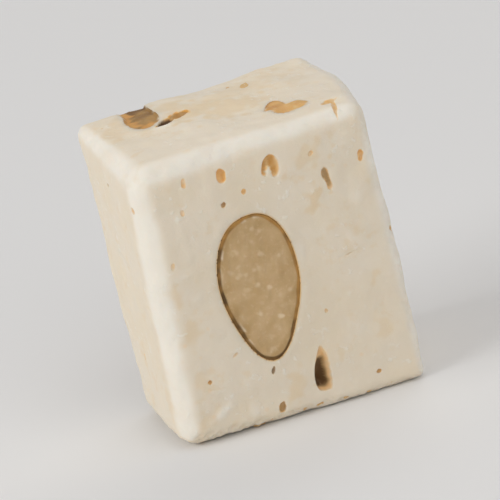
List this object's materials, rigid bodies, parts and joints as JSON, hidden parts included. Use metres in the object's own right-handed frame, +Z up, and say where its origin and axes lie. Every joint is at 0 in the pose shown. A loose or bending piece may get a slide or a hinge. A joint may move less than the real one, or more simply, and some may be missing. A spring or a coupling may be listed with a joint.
{
  "type": "nougat piece",
  "caption": "Hand-cut block of pale nougat standing on its end, with almonds and other nuts cut flush in its faces and small open pits",
  "frame": {"origin": "middle of the flat underside", "axes": "+Z up along the longest side, +X across the broad front face, +Y from the front face, where the large almond shows, to the back"},
  "size_m": [0.0335, 0.0243, 0.0386],
  "materials": {
    "nougat": "soft matt, slightly translucent",
    "almond_flesh": "matt cut face with a thin brown skin round it",
    "roasted_nut": "matt cut face, golden, slightly oily"
  },
  "bodies": {
    "root": {"nougat_block": "nougat", "almond_front": "almond_flesh", "nut_top_back": "roasted_nut", "nut_top_front": "roasted_nut", "almond_right": "almond_flesh", "hazelnut_back": "roasted_nut", "almond_back": "almond_flesh", "nut_base": "roasted_nut"}
  },
  "joints": []
}
